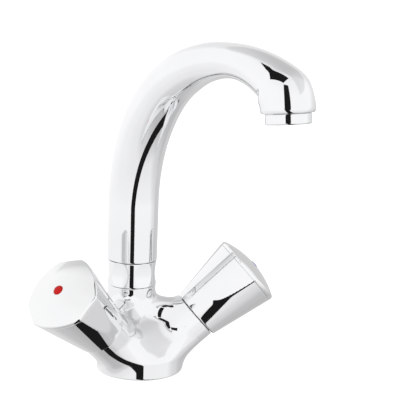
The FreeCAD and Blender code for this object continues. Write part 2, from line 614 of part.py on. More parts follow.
def make_handle(side, sign):
    placement = arm_placement(sign, HANDLE_TURN[side])
    shell_room = cylinder(side + "_shell_room", "@flat_distance + @rim_room", "@cap_joint - @handle_start",
                          "@handle_start")
    skirt_hollow = cut(side + "_skirt_hollow",
                       cylinder(side + "_skirt_cavity", "@skirt_cavity", "@cavity_roof - @handle_start",
                                "@handle_start"),
                       cylinder(side + "_hub", "@hub_radius", "@cavity_roof - @hub_floor", "@hub_floor"))
    hollow = fuse(side + "_shell_hollow", [
        skirt_hollow,
        cylinder(side + "_hub_bore", "@spline_radius + 0.02", "@hub_bore_top - @handle_start",
                 "@handle_start"),
        cylinder(side + "_screw_clearance", "@screw_clearance", "@cap_joint - @handle_start",
                 "@handle_start"),
        cylinder(side + "_counterbore", "@counterbore_radius", "@cap_joint - @counterbore_floor",
                 "@counterbore_floor")])
    node(cut(side + "_handle_cut", common(side + "_shell", handle_outside(side + "_shell_form"),
                                          shell_room), hollow),
         side + "_handle", placement)
    cap_room = cylinder(side + "_cap_room", "@flat_distance + @rim_room", "@apex_height - @cap_joint",
                        "@cap_joint")
    cap_solid = fuse(side + "_cap_solid", [
        common(side + "_cap_top", handle_outside(side + "_cap_form"), cap_room),
        cylinder(side + "_cap_plug", "@cap_plug_radius", "@cap_plug_height + 0.5",
                 "@cap_joint - @cap_plug_height")])
    pocket = cylinder(side + "_index_pocket", "@index_radius + 0.02", "@index_depth + 1",
                      "@apex_height - @index_depth")
    node(cut(side + "_cap_cut", cap_solid, pocket), side + "_handle_cap", placement)
    node(common(side + "_index_button_form",
                cylinder(side + "_index_disc", "@index_radius", "@index_depth",
                         "@apex_height - @index_depth"),
                dome_limit(side + "_index_dome")), side + "_index_button", placement)
    node(fuse(side + "_handle_screw_solid", [
        cylinder(side + "_handle_screw_head", "@handle_screw_head", "@handle_screw_head_height",
                 "@counterbore_floor"),
        cylinder(side + "_handle_screw_shank", "@handle_screw_shank", "@handle_screw_length",
                 "@counterbore_floor - @handle_screw_length")]),
         side + "_handle_screw", arm_placement(sign))


make_body()
make_base_gasket()
make_union_nut()
make_slide_ring()
make_spout()
make_snap_ring()
make_spout_o_rings()
make_aerator()
for side_name, side_sign in SIDES:
    make_headwork(side_name, side_sign)
    make_spindle(side_name, side_sign)
    make_piston(side_name, side_sign)
    make_handle(side_name, side_sign)
doc.recompute()

failed = [obj.Name for obj in doc.Objects if "Invalid" in obj.State or "Error" in obj.State]
if failed:
    raise RuntimeError("objects failed to build: %s" % ", ".join(failed))
for obj in NODES:
    if obj.Shape.isNull() or not obj.Shape.isValid() or not obj.Shape.Solids:
        raise RuntimeError("no valid solid in %s" % obj.Label)

os.makedirs("parts", exist_ok=True)
for obj in NODES:
    obj.Shape.exportStep("parts/%s.step" % obj.Label)
    box = obj.Shape.BoundBox
    print("%-22s solids %d volume %9.1f  x %.1f..%.1f y %.1f..%.1f z %.1f..%.1f" % (
        obj.Label, len(obj.Shape.Solids), obj.Shape.Volume,
        box.XMin, box.XMax, box.YMin, box.YMax, box.ZMin, box.ZMax))
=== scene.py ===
import json
import math

import bpy
import numpy as np
from mathutils import Matrix, Vector

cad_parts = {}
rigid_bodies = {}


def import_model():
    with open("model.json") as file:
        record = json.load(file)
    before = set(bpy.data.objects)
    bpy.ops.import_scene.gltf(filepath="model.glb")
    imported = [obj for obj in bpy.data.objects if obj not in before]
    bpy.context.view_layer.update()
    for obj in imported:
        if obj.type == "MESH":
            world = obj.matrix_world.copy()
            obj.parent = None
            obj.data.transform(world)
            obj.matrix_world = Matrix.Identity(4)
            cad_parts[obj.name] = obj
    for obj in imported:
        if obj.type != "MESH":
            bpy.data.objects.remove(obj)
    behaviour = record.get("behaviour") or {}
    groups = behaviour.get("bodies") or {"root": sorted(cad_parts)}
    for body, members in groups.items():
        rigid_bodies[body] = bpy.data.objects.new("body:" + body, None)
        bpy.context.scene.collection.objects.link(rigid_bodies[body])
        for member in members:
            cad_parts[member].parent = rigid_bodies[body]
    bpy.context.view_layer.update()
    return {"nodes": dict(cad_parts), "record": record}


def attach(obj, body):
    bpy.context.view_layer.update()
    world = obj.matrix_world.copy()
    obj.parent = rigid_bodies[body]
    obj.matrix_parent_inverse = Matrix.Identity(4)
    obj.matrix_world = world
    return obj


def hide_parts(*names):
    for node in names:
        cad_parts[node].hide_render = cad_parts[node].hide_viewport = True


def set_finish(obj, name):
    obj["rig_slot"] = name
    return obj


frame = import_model()

# Chrome basin mixer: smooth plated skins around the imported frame.
# Lengths below are millimetres; MM turns them into Blender's metres.
MM = 0.001
COLUMN_Y = 12.0


# ---------------------------------------------------------------- mesh tools

def put(name, vertices, faces, normals=None, crease=None):
    """A mesh object from points in millimetres, smooth shaded."""
    mesh = bpy.data.meshes.new(name)
    mesh.from_pydata((np.asarray(vertices) * MM).tolist(), [], [list(f) for f in faces])
    mesh.polygons.foreach_set("use_smooth", [True] * len(mesh.polygons))
    mesh.validate()
    mesh.update()
    if normals is not None:
        mesh.normals_split_custom_set_from_vertices(np.asarray(normals).tolist())
    elif crease is not None:
        mesh.set_sharp_from_angle(angle=math.radians(crease))
    piece = bpy.data.objects.new(name, mesh)
    bpy.context.scene.collection.objects.link(piece)
    return piece


def rings_to_mesh(rings):
    """Vertices and quads joining rings of equally many points, and the last ring to the first."""
    count = len(rings[0])
    vertices = np.concatenate(rings)
    faces = []
    for first in range(len(rings)):
        second = (first + 1) % len(rings)
        for i in range(count):
            j = (i + 1) % count
            faces.append((first * count + i, first * count + j, second * count + j, second * count + i))
    return vertices, faces


def smooth_min(a, b, width):
    """The lesser of two fields, blended where they are within a width of each other."""
    h = np.clip(0.5 + 0.5 * (b - a) / width, 0.0, 1.0)
    return b * (1 - h) + a * h - width * h * (1 - h)


def smooth_max(a, b, width):
    return -smooth_min(-a, -b, width)


CORNERS = np.array([(i, j, k) for i in (0, 1) for j in (0, 1) for k in (0, 1)])
EDGES = [(a, b) for a in range(8) for b in range(a + 1, 8) if np.abs(CORNERS[a] - CORNERS[b]).sum() == 1]


def gradient(field, points):
    """The slope of a field at each point, by central differences."""
    reach = 0.01
    columns = []
    for axis in range(3):
        shift = np.zeros(3)
        shift[axis] = reach
        ahead = (points + shift).T
        behind = (points - shift).T
        columns.append((field(*ahead) - field(*behind)) / (2 * reach))
    return np.stack(columns, axis=1)


def surface_of(field, low, high, step):
    """Vertices, quads and normals of the surface where a signed field is zero."""
    counts = [int(math.ceil((b - a) / step)) + 1 for a, b in zip(low, high)]
    lines = [a + step * np.arange(n) for a, n in zip(low, counts)]
    x, y, z = np.meshgrid(*lines, indexing="ij", sparse=True)
    values = np.broadcast_to(field(x, y, z), counts)
    inside = values < 0
    cells = tuple(n - 1 for n in counts)
    total = np.zeros(cells, np.int8)
    for i, j, k in CORNERS:
        total += inside[i:i + cells[0], j:j + cells[1], k:k + cells[2]]
    active = np.argwhere((total > 0) & (total < 8))
    number = np.full(cells, -1, np.int64)
    number[tuple(active.T)] = np.arange(len(active))
    corner = np.stack([values[tuple((active + c).T)] for c in CORNERS], axis=1)
    place = np.zeros((len(active), 3))
    found = np.zeros(len(active))
    for a, b in EDGES:
        crosses = (corner[:, a] < 0) != (corner[:, b] < 0)
        gap = np.where(crosses, corner[:, a] - corner[:, b], 1.0)
        share = np.where(crosses, corner[:, a] / gap, 0.0)[:, None]
        place += np.where(crosses[:, None], CORNERS[a] + share * (CORNERS[b] - CORNERS[a]), 0.0)
        found += crosses
    points = np.array(low) + step * (active + place / found[:, None])
    faces = []
    for axis in range(3):
        u, v = (axis + 1) % 3, (axis + 2) % 3
        here = [slice(1, n - 1) for n in counts]
        here[axis] = slice(0, counts[axis] - 1)
        there = list(here)
        there[axis] = slice(1, counts[axis])
        start = inside[tuple(here)]
        end = inside[tuple(there)]
        offset = np.array([0 if d == axis else 1 for d in range(3)])
        for flip, wanted in ((False, start & ~end), (True, ~start & end)):
            at = np.argwhere(wanted) + offset
            around = []
            for du, dv in ((-1, -1), (0, -1), (0, 0), (-1, 0)):
                cell = at.copy()
                cell[:, u] += du
                cell[:, v] += dv
                around.append(number[tuple(cell.T)])
            quad = np.stack(around[::-1] if flip else around, axis=1)
            faces.append(quad)
    faces = np.concatenate(faces)
    for _ in range(4):
        slope = gradient(field, points)
        steep = np.maximum((slope ** 2).sum(axis=1), 0.2)
        move = -(field(*points.T) / steep)[:, None] * slope
        length = np.linalg.norm(move, axis=1, keepdims=True)
        points = points + move * np.minimum(1.0, 0.4 * step / np.maximum(length, 1e-9))
    slope = gradient(field, points)
    normals = slope / np.maximum(np.linalg.norm(slope, axis=1, keepdims=True), 1e-9)
    return points, faces, normals


# ---------------------------------------------------------------- valve arms

ARM_ORIGIN = np.array([0.0, 2.2, 0.6])
ARM_FORWARD, ARM_RISE = math.radians(20.0), math.radians(41.0)
ARM_RADIUS, ARM_END = 14.6, 46.8
SIDES = {"hot": (-1, 349.0), "cold": (1, 161.0)}


def arm_frame(sign, turn=0.0):
    """Columns are the arm's level, upward and outward directions; turn is about the outward one."""
    axis = np.array([sign * math.cos(ARM_RISE) * math.cos(ARM_FORWARD),
                     -math.cos(ARM_RISE) * math.sin(ARM_FORWARD), math.sin(ARM_RISE)])
    level = np.cross((0.0, 0.0, 1.0), axis)
    level /= np.linalg.norm(level)
    upward = np.cross(axis, level)
    c, s = math.cos(math.radians(turn)), math.sin(math.radians(turn))
    return np.stack([c * level + s * upward, -s * level + c * upward, axis], axis=1)


def on_arm(points, sign, turn=0.0):
    """Points from an arm's own frame, height along +Z, to the row frame."""
    return np.asarray(points) @ arm_frame(sign, turn).T + ARM_ORIGIN


# ---------------------------------------------------------------- cast body

BASE_RADIUS, BASE_WALL, SHOULDER = 26.0, 9.5, 38.0
WEB_REACH, WEB_BACK, WEB_FORWARD, WEB_HEIGHT, WEB_RADIUS = 25.0, 8.0, 13.0, 32.5, 9.0
BLEND_NARROW, BLEND_EXTRA, WEB_BLEND = 6.0, 7.0, 6.0
BODY_TOP, NECK_RADIUS, NECK_LOW, NECK_HIGH = 50.0, 12.4, 38.0, 60.0
ARM_BORES = [(10.0, 34.0), (8.0, 20.0), (3.5, 11.5)]
SOCKET_RADIUS, SOCKET_FLOOR = 10.05, 33.0
INLET_RADIUS, INLET_SIDE, INLET_Y, INLET_DEPTH = 4.5, 9.5, -1.0, 10.0
STUD_RADIUS, STUD_Y, STUD_DEPTH = 3.4, 14.5, 14.0
GROOVE_RADIUS, GROOVE_HALF, GROOVE_DEPTH = 22.75, 1.75, 2.0
BELOW, ABOVE, BORE_EDGE = -5.0, 70.0, 0.3


def rod(x, y, z, radius, low, high, edge):
    """An upright cylinder with softened edges, as a field."""
    side = np.hypot(x, y) - radius
    ends = np.maximum(low - z, z - high)
    return smooth_max(side, ends, edge)


def arm_coordinates(x, y, z, sign):
    """Level, upward and outward coordinates of points in an arm's own frame."""
    basis = arm_frame(sign)
    dx, dy, dz = x - ARM_ORIGIN[0], y - ARM_ORIGIN[1], z - ARM_ORIGIN[2]
    return [dx * basis[0, i] + dy * basis[1, i] + dz * basis[2, i] for i in range(3)]


def ease(share):
    """A smooth step from 0 to 1."""
    share = np.clip(share, 0.0, 1.0)
    return share * share * (3 - 2 * share)


def web_field(x, y, z):
    """A rounded web that fills the valley between the column and an arm."""
    share = np.clip(x / WEB_REACH, 0.0, 1.0)
    return np.sqrt((x - WEB_REACH * share) ** 2 + (y - WEB_BACK + WEB_FORWARD * share) ** 2
                   + (z - WEB_HEIGHT) ** 2) - WEB_RADIUS


def body_field(x, y, z):
    """A trunk that narrows up to the column, joined to two arms and bored for the valves and the spout."""
    back = y - COLUMN_Y
    share = ease((z - BASE_WALL) / (SHOULDER - BASE_WALL))
    trunk = 0.8 * (np.hypot(x, y - COLUMN_Y * share) - BASE_RADIUS + (BASE_RADIUS - ARM_RADIUS) * share)
    arms = []
    for sign in (-1, 1):
        level, upward, along = arm_coordinates(x, y, z, sign)
        side = np.hypot(level, upward) - ARM_RADIUS
        arms.append((side, along))
        saddle = ease((46.5 - along) / 9.0) * ease((49.8 - z) / 8.0) * ease((z - 6.0) / 16.0)
        trunk = smooth_min(trunk, np.maximum(side, -along), BLEND_NARROW + BLEND_EXTRA * saddle)
        trunk = smooth_min(trunk, web_field(x * sign, y, z), WEB_BLEND)
    solid = smooth_max(trunk, z - BODY_TOP, 0.7)
    for side, along in arms:
        solid = smooth_max(solid, along - ARM_END, 0.4)
    solid = smooth_max(solid, -z, 0.9)
    neck = rod(x, back, z, NECK_RADIUS, NECK_LOW, NECK_HIGH, 0.6)
    solid = np.minimum(solid, neck)
    for side, along in arms:
        off_axis = side + ARM_RADIUS
        for bore_radius, bore_start in ARM_BORES:
            solid = np.maximum(solid, -np.maximum(off_axis - bore_radius, bore_start - along))
    solid = np.maximum(solid, -rod(x, back, z, SOCKET_RADIUS, SOCKET_FLOOR, ABOVE, BORE_EDGE))
    for sign in (-1, 1):
        inlet = rod(x - sign * INLET_SIDE, y - INLET_Y, z, INLET_RADIUS, BELOW, INLET_DEPTH, BORE_EDGE)
        solid = np.maximum(solid, -inlet)
    stud = rod(x, y - STUD_Y, z, STUD_RADIUS, BELOW, STUD_DEPTH, BORE_EDGE)
    solid = np.maximum(solid, -stud)
    groove = np.maximum(np.abs(np.hypot(x, y) - GROOVE_RADIUS) - GROOVE_HALF, z - GROOVE_DEPTH)
    return np.maximum(solid, -groove)


points, faces, normals = surface_of(body_field, (-46.0, -28.0, -1.2), (46.0, 29.0, 61.2), 0.62)
body = put("cast_body", points, faces, normals)
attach(body, "base")
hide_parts("mixer_body")
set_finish(body, "chrome_plate")


# ---------------------------------------------------------------- union nut

NUT_RADIUS, NUT_FLAT, NUT_LOW, NUT_HIGH = 15.0, 13.9, 50.3, 65.3
NUT_MIDDLE, FLAT_CROWN = (NUT_LOW + NUT_HIGH) / 2, 30.0
NUT_BORE, LIP_BORE, LIP_LOW, NUT_EDGE = 12.5, 10.6, 62.2, 0.35
ROUND = 240
ANGLES = np.linspace(0.0, 2 * math.pi, ROUND, endpoint=False)


def circle_at(radius, height, centre_y=COLUMN_Y):
    """A level ring of points, about the column unless told otherwise."""
    radius = np.broadcast_to(radius, ANGLES.shape)
    return np.stack([radius * np.cos(ANGLES), centre_y + radius * np.sin(ANGLES),
                     np.full(ROUND, height)], axis=1)


def nut_radius(height):
    """Outside radius around the nut at a height: six shallow pads with rounded ends."""
    sixth = math.pi / 3
    off = ANGLES % sixth - sixth / 2
    depth = NUT_RADIUS - NUT_FLAT / np.cos(off) - (height - NUT_MIDDLE) ** 2 / (2 * FLAT_CROWN)
    return NUT_RADIUS - smooth_max(depth, np.zeros(ROUND), 0.06)


nut_rings = [circle_at(NUT_BORE, NUT_LOW), circle_at(NUT_RADIUS - NUT_EDGE, NUT_LOW),
             circle_at(nut_radius(NUT_LOW + 0.1) - 0.1, NUT_LOW + 0.1)]
for height in np.linspace(NUT_LOW + 0.4, NUT_HIGH - 0.4, 60):
    nut_rings.append(circle_at(nut_radius(height), height))
nut_rings += [circle_at(nut_radius(NUT_HIGH - 0.1) - 0.1, NUT_HIGH - 0.1),
              circle_at(NUT_RADIUS - NUT_EDGE, NUT_HIGH), circle_at(LIP_BORE, NUT_HIGH),
              circle_at(LIP_BORE, LIP_LOW), circle_at(NUT_BORE, LIP_LOW)]
nut = put("union_nut", *rings_to_mesh(nut_rings), crease=40)
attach(nut, "base")
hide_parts("spout_union_nut")
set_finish(nut, "chrome_plate")


# ---------------------------------------------------------------- spout

TUBE_START, TUBE_STRAIGHT, HEAD_STRAIGHT = 65.6, 34.0, 1.0
BENDS = [(94.0, 62.5), (121.5, 88.0), (101.0, 111.0), (16.5, 171.5)]
WALL = 2.8


def spout_station(distance):
    """Point in the X = 0 plane and heading, in radians from the vertical, at a distance along the spout."""
    if distance <= TUBE_STRAIGHT:
        return np.array([COLUMN_Y, TUBE_START + distance]), 0.0
    here = np.array([COLUMN_Y, TUBE_START + TUBE_STRAIGHT])
    left = distance - TUBE_STRAIGHT
    heading = 0.0
    for radius, end in BENDS:
        turn = math.radians(end) - heading
        part = min(left, radius * turn)
        centre = here - radius * np.array([math.cos(heading), math.sin(heading)])
        heading += part / radius
        here = centre + radius * np.array([math.cos(heading), math.sin(heading)])
        left -= part
        if left <= 0:
            return here, heading
    return here + left * np.array([-math.sin(heading), math.cos(heading)]), heading


BEND_LENGTHS = []
last_end = 0.0
for bend_radius, bend_end in BENDS:
    BEND_LENGTHS.append(bend_radius * math.radians(bend_end - last_end))
    last_end = bend_end
ENDS = TUBE_STRAIGHT + np.cumsum([0.0] + BEND_LENGTHS)
SPOUT_LENGTH = ENDS[-1] + HEAD_STRAIGHT
MARKS = np.array([0.0, TUBE_STRAIGHT, (ENDS[0] + ENDS[1]) / 2, ENDS[1], (ENDS[1] + ENDS[2]) / 2, ENDS[2],
                  ENDS[3], (ENDS[3] + ENDS[4]) / 2, ENDS[4], SPOUT_LENGTH])
RADII = np.array([15.0, 15.1, 14.9, 12.95, 10.85, 9.5, 12.0, 14.1, 13.9, 13.65])


def monotone_slopes(marks, values):
    """Slopes for a smooth curve through the marks that never overshoots them."""
    chords = np.diff(values) / np.diff(marks)
    slopes = np.zeros(len(values))
    for i in range(1, len(values) - 1):
        if chords[i - 1] * chords[i] > 0:
            slopes[i] = 2 * chords[i - 1] * chords[i] / (chords[i - 1] + chords[i])
    slopes[-1] = chords[-1]
    return slopes


SLOPES = monotone_slopes(MARKS, RADII)


def spout_radius(distance):
    """Outside radius at a distance along the spout, a smooth curve through the marks."""
    i = int(np.clip(np.searchsorted(MARKS, distance) - 1, 0, len(MARKS) - 2))
    span = MARKS[i + 1] - MARKS[i]
    t = (distance - MARKS[i]) / span
    return ((2 * t ** 3 - 3 * t ** 2 + 1) * RADII[i] + (t ** 3 - 2 * t ** 2 + t) * span * SLOPES[i]
            + (3 * t ** 2 - 2 * t ** 3) * RADII[i + 1] + (t ** 3 - t ** 2) * span * SLOPES[i + 1])


def ring_across(distance, radius):
    """A ring of points square to the spout's centre line."""
    (y, z), heading = spout_station(distance)
    outward = radius * np.sin(ANGLES)
    return np.stack([radius * np.cos(ANGLES), y + outward * math.cos(heading),
                     z + outward * math.sin(heading)], axis=1)


STEM_LOW, STEM_RADIUS, STEM_BORE = 36.0, 10.0, 6.5
STEM_GROOVES = [(39.0, 2.0, 8.25), (45.0, 2.0, 8.25), (60.3, 1.1, 8.85)]
FOOT_RADIUS, FOOT_EDGE, RIM_FACE, RIM_EDGE = 14.65, 0.35, 12.95, 0.7
OUTLET_BORE, OUTLET_DEPTH = 11.5, 8.0
spout_rings = [circle_at(STEM_BORE, STEM_LOW), circle_at(STEM_RADIUS - 0.5, STEM_LOW),
               circle_at(STEM_RADIUS, STEM_LOW + 0.5)]
for groove_low, groove_height, groove_radius in STEM_GROOVES:
    spout_rings += [circle_at(STEM_RADIUS, groove_low), circle_at(groove_radius, groove_low),
                    circle_at(groove_radius, groove_low + groove_height),
                    circle_at(STEM_RADIUS, groove_low + groove_height)]
spout_rings += [circle_at(STEM_RADIUS, TUBE_START), circle_at(FOOT_RADIUS, TUBE_START)]
for turn in np.linspace(0.0, math.pi / 2, 5)[1:]:
    spout_rings.append(ring_across(FOOT_EDGE * (1 - math.cos(turn)),
                                   FOOT_RADIUS + FOOT_EDGE * math.sin(turn)))
for distance in np.linspace(1.2, SPOUT_LENGTH - 0.9, 260):
    spout_rings.append(ring_across(distance, spout_radius(distance)))
for turn in np.linspace(0.0, math.pi / 2, 6)[1:]:
    spout_rings.append(ring_across(SPOUT_LENGTH - RIM_EDGE * (1 - math.sin(turn)),
                                   RIM_FACE + RIM_EDGE * math.cos(turn)))
spout_rings += [ring_across(SPOUT_LENGTH, OUTLET_BORE + 0.5), ring_across(SPOUT_LENGTH - 0.5, OUTLET_BORE),
                ring_across(SPOUT_LENGTH - OUTLET_DEPTH, OUTLET_BORE)]
for distance in np.linspace(SPOUT_LENGTH - OUTLET_DEPTH, TUBE_STRAIGHT / 2, 120):
    spout_rings.append(ring_across(distance, min(spout_radius(distance) - WALL, OUTLET_BORE)))
spout_rings.append(ring_across(TUBE_STRAIGHT / 2, STEM_BORE))
spout = put("swan_neck_spout", *rings_to_mesh(spout_rings), crease=50)
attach(spout, "spout")
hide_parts("spout")
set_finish(spout, "chrome_plate")


# ---------------------------------------------------------------- aerator

def outlet_ring(radius, rise):
    """A ring around the outlet axis; rise is measured up into the spout from its rim."""
    (y, z), heading = spout_station(SPOUT_LENGTH)
    across = np.array([math.cos(heading), math.sin(heading)])
    inward = np.array([math.sin(heading), -math.cos(heading)])
    outward = radius * np.sin(ANGLES)
    return np.stack([radius * np.cos(ANGLES), y + outward * across[0] + rise * inward[0],
                     z + outward * across[1] + rise * inward[1]], axis=1)


def flange_radius(radius):
    """The aerator's flange, with two flats for a wrench."""
    return np.minimum(radius, (radius - 0.5) / np.maximum(np.abs(np.cos(ANGLES)), 0.5))


DROP, FLANGE, THREAD_RADIUS, THREAD_HEIGHT, LIP_RADIUS, SCREEN_BORE = 5.6, 11.8, 11.4, 6.4, 8.9, 9.8
aerator_rings = [outlet_ring(LIP_RADIUS, -DROP + 1.0), outlet_ring(LIP_RADIUS, -DROP + 0.3),
                 outlet_ring(LIP_RADIUS + 0.4, -DROP), outlet_ring(flange_radius(FLANGE - 0.7), -DROP),
                 outlet_ring(flange_radius(FLANGE - 0.25), -DROP + 0.2),
                 outlet_ring(flange_radius(FLANGE), -DROP + 0.65)]
for rise in np.linspace(-DROP + 0.9, -0.5, 6):
    aerator_rings.append(outlet_ring(flange_radius(FLANGE), rise))
aerator_rings += [outlet_ring(flange_radius(FLANGE - 0.1), -0.2),
                  outlet_ring(flange_radius(FLANGE - 0.3), -0.05),
                  outlet_ring(THREAD_RADIUS, 0.0), outlet_ring(THREAD_RADIUS, THREAD_HEIGHT - 0.4),
                  outlet_ring(THREAD_RADIUS - 0.3, THREAD_HEIGHT), outlet_ring(SCREEN_BORE, THREAD_HEIGHT),
                  outlet_ring(SCREEN_BORE, -DROP + 1.0)]
aerator = put("aerator_ring", *rings_to_mesh(aerator_rings), crease=40)
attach(aerator, "spout")
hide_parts("aerator_housing")
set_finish(aerator, "chrome_plate")


# ---------------------------------------------------------------- handles

HANDLE_START, FLARE_START, CAP_JOINT, RIM_HEIGHT, APEX = 47.2, 47.5, 87.0, 89.5, 94.3
SKIRT_RADIUS, RIM_RADIUS = 15.8, 21.6
LOBE_OFFSET, FLAT_DISTANCE, FLAT_LEAN = 12.06, 22.3, math.radians(6.7)
JOINT_EDGE = 0.12
HUB_RADIUS, HUB_FOOT, CAVITY_RADIUS, CAVITY_TOP = 7.0, 62.5, 13.4, 68.0
SPINDLE_BORE, SPINDLE_TOP, SCREW_BORE, COUNTERBORE, COUNTERBORE_FLOOR = 3.92, 80.2, 2.1, 5.0, 82.5
PLUG_RADIUS, POCKET_RADIUS, POCKET_DEPTH = 4.9, 2.87, 1.45
DOME_RADIUS = ((APEX - RIM_HEIGHT) ** 2 + FLAT_DISTANCE ** 2) / (2 * (APEX - RIM_HEIGHT))


def dome_field(x, y, z):
    """The sphere that closes the cap."""
    return np.sqrt(x * x + y * y + (z - APEX + DOME_RADIUS) ** 2) - DOME_RADIUS


def flare_field(x, y, z):
    """A round skirt that flares to three soft lobes, each trimmed by a leaning flat, closed by a dome."""
    climb = (z - FLARE_START) / (RIM_HEIGHT - FLARE_START)
    radius = SKIRT_RADIUS + (RIM_RADIUS + LOBE_OFFSET - SKIRT_RADIUS) * climb
    softness = 0.15 + 2.6 * np.clip(climb, 0.0, 1.2)
    flare = None
    for index in range(3):
        angle = 2 * math.pi * (index + 0.5) / 3
        shift = LOBE_OFFSET * climb
        side = 0.95 * (np.hypot(x + shift * math.cos(angle), y + shift * math.sin(angle)) - radius)
        flare = side if flare is None else smooth_max(flare, side, softness)
    for index in range(3):
        angle = 2 * math.pi * index / 3
        out = math.cos(angle) * x + math.sin(angle) * y
        flat = math.cos(FLAT_LEAN) * (out - FLAT_DISTANCE) - math.sin(FLAT_LEAN) * (z - RIM_HEIGHT)
        flare = smooth_max(flare, flat, 0.28)
    return smooth_max(flare, dome_field(x, y, z), 1.3)


def shell_field(x, y, z):
    """The handle below its cap, with a skirt cavity round the hub and bores for the spindle and screw."""
    radius = np.hypot(x, y)
    outside = smooth_max(flare_field(x, y, z), z - CAP_JOINT, JOINT_EDGE)
    outside = smooth_max(outside, HANDLE_START - z, 0.5)
    hub = np.maximum(radius - HUB_RADIUS, HUB_FOOT - z)
    cavity = np.maximum(np.maximum(radius - CAVITY_RADIUS, z - CAVITY_TOP), -hub)
    bore = np.maximum(radius - SPINDLE_BORE, z - SPINDLE_TOP)
    counterbore = np.maximum(radius - COUNTERBORE, COUNTERBORE_FLOOR - z)
    hollow = np.minimum(np.minimum(cavity, bore), np.minimum(radius - SCREW_BORE, counterbore))
    return np.maximum(outside, -hollow)


def cap_field(x, y, z):
    """The domed cap, with a plug below it and a pocket for the index button."""
    radius = np.hypot(x, y)
    top = smooth_max(flare_field(x, y, z), CAP_JOINT - z, JOINT_EDGE)
    plug = np.maximum(radius - PLUG_RADIUS, np.maximum(CAP_JOINT - 1.5 - z, z - APEX + 2.0))
    pocket = np.maximum(radius - POCKET_RADIUS, APEX - POCKET_DEPTH - z)
    return np.maximum(np.minimum(top, plug), -pocket)


SPAN = 24.6
shell = surface_of(shell_field, (-SPAN, -SPAN, HANDLE_START - 0.9), (SPAN, SPAN, CAP_JOINT + 0.9), 0.46)
cap = surface_of(cap_field, (-SPAN, -SPAN, CAP_JOINT - 2.3), (SPAN, SPAN, APEX + 0.8), 0.36)


def button_rings():
    """The index button's rings, from its centre below to its centre above."""
    rings = [(0.05, APEX - 1.4), (2.8, APEX - 1.4), (2.8, APEX - 0.15)]
    for turn in np.linspace(0.0, math.pi / 2, 12)[1:]:
        rings.append((2.78 * math.cos(turn) + 0.02, APEX - 0.15 + 0.5 * math.sin(turn)))
    return [circle_at(radius, height, centre_y=0.0) for radius, height in rings]


BUTTON = rings_to_mesh(button_rings())

for side, (sign, turn) in SIDES.items():
    knob = side + "_knob"
    for name, (points, faces, normals), node, slot in (
            ("_handle_shell", shell, "_handle", "chrome_plate"),
            ("_handle_dome", cap, "_handle_cap", "chrome_cap")):
        turned = normals @ arm_frame(sign, turn).T
        piece = put(side + name, on_arm(points, sign, turn), faces, turned)
        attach(piece, knob)
        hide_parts(side + node)
        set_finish(piece, slot)
    button = put(side + "_index_dot", on_arm(BUTTON[0], sign, turn), BUTTON[1], crease=40)
    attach(button, knob)
    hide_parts(side + "_index_button")
    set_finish(button, "red_button" if side == "hot" else "blue_button")


# ---------------------------------------------------------------- materials

def material(name, base_color, metallic, roughness, **sockets):
    """A principled material; extra sockets are set by name with _ for a space."""
    made = bpy.data.materials.new(name)
    made.use_nodes = True
    shader = made.node_tree.nodes["Principled BSDF"]
    shader.inputs["Base Color"].default_value = (*base_color, 1.0)
    shader.inputs["Metallic"].default_value = metallic
    shader.inputs["Roughness"].default_value = roughness
    for socket, value in sockets.items():
        shader.inputs[socket.replace("_", " ")].default_value = value
    return made


def texture(made, kind, scale, **settings):
    """A procedural texture in object coordinates; scale is in features per metre."""
    nodes, links = made.node_tree.nodes, made.node_tree.links
    place = nodes.new("ShaderNodeTexCoord")
    node = nodes.new(kind)
    node.inputs["Scale"].default_value = scale
    for key, value in settings.items():
        if key in node.inputs:
            node.inputs[key].default_value = value
        else:
            setattr(node, key, value)
    links.new(place.outputs["Object"], node.inputs["Vector"])
    return node


TEXTURE_LOW, TEXTURE_HIGH = 0.3, 0.7


def vary(made, source, socket, low, high):
    """Drive a shader socket between two values by a texture."""
    nodes, links = made.node_tree.nodes, made.node_tree.links
    spread = nodes.new("ShaderNodeMapRange")
    for key, value in (("From Min", TEXTURE_LOW), ("From Max", TEXTURE_HIGH), ("To Min", low),
                       ("To Max", high)):
        spread.inputs[key].default_value = value
    links.new(source.outputs[0], spread.inputs["Value"])
    links.new(spread.outputs["Result"], nodes["Principled BSDF"].inputs[socket])


def tint(made, source, low, high):
    """Shift the base colour between two colours by a texture."""
    nodes, links = made.node_tree.nodes, made.node_tree.links
    ramp = nodes.new("ShaderNodeValToRGB")
    ramp.color_ramp.elements[0].position = TEXTURE_LOW
    ramp.color_ramp.elements[1].position = TEXTURE_HIGH
    ramp.color_ramp.elements[0].color = (*low, 1.0)
    ramp.color_ramp.elements[1].color = (*high, 1.0)
    links.new(source.outputs[0], ramp.inputs["Fac"])
    links.new(ramp.outputs["Color"], nodes["Principled BSDF"].inputs["Base Color"])


def bump(made, source, height, strength):
    """Relief of a height in metres from a texture."""
    nodes, links = made.node_tree.nodes, made.node_tree.links
    relief = nodes.new("ShaderNodeBump")
    relief.inputs["Strength"].default_value = strength
    relief.inputs["Distance"].default_value = height
    links.new(source.outputs[0], relief.inputs["Height"])
    links.new(relief.outputs["Normal"], nodes["Principled BSDF"].inputs["Normal"])


def chrome(name, color):
    """Bright plating with faint smears, clouds and ripple."""
    made = material(name, color, 1.0, 0.035)
    smears = texture(made, "ShaderNodeTexNoise", 90.0, Detail=5.0, Roughness=0.6)
    vary(made, smears, "Roughness", 0.02, 0.06)
    darker = tuple(0.975 * c for c in color)
    clouds = texture(made, "ShaderNodeTexNoise", 35.0, Detail=3.0)
    tint(made, clouds, darker, color)
    ripple = texture(made, "ShaderNodeTexNoise", 160.0, Detail=2.0)
    bump(made, ripple, 0.000012, 0.35)
    return made


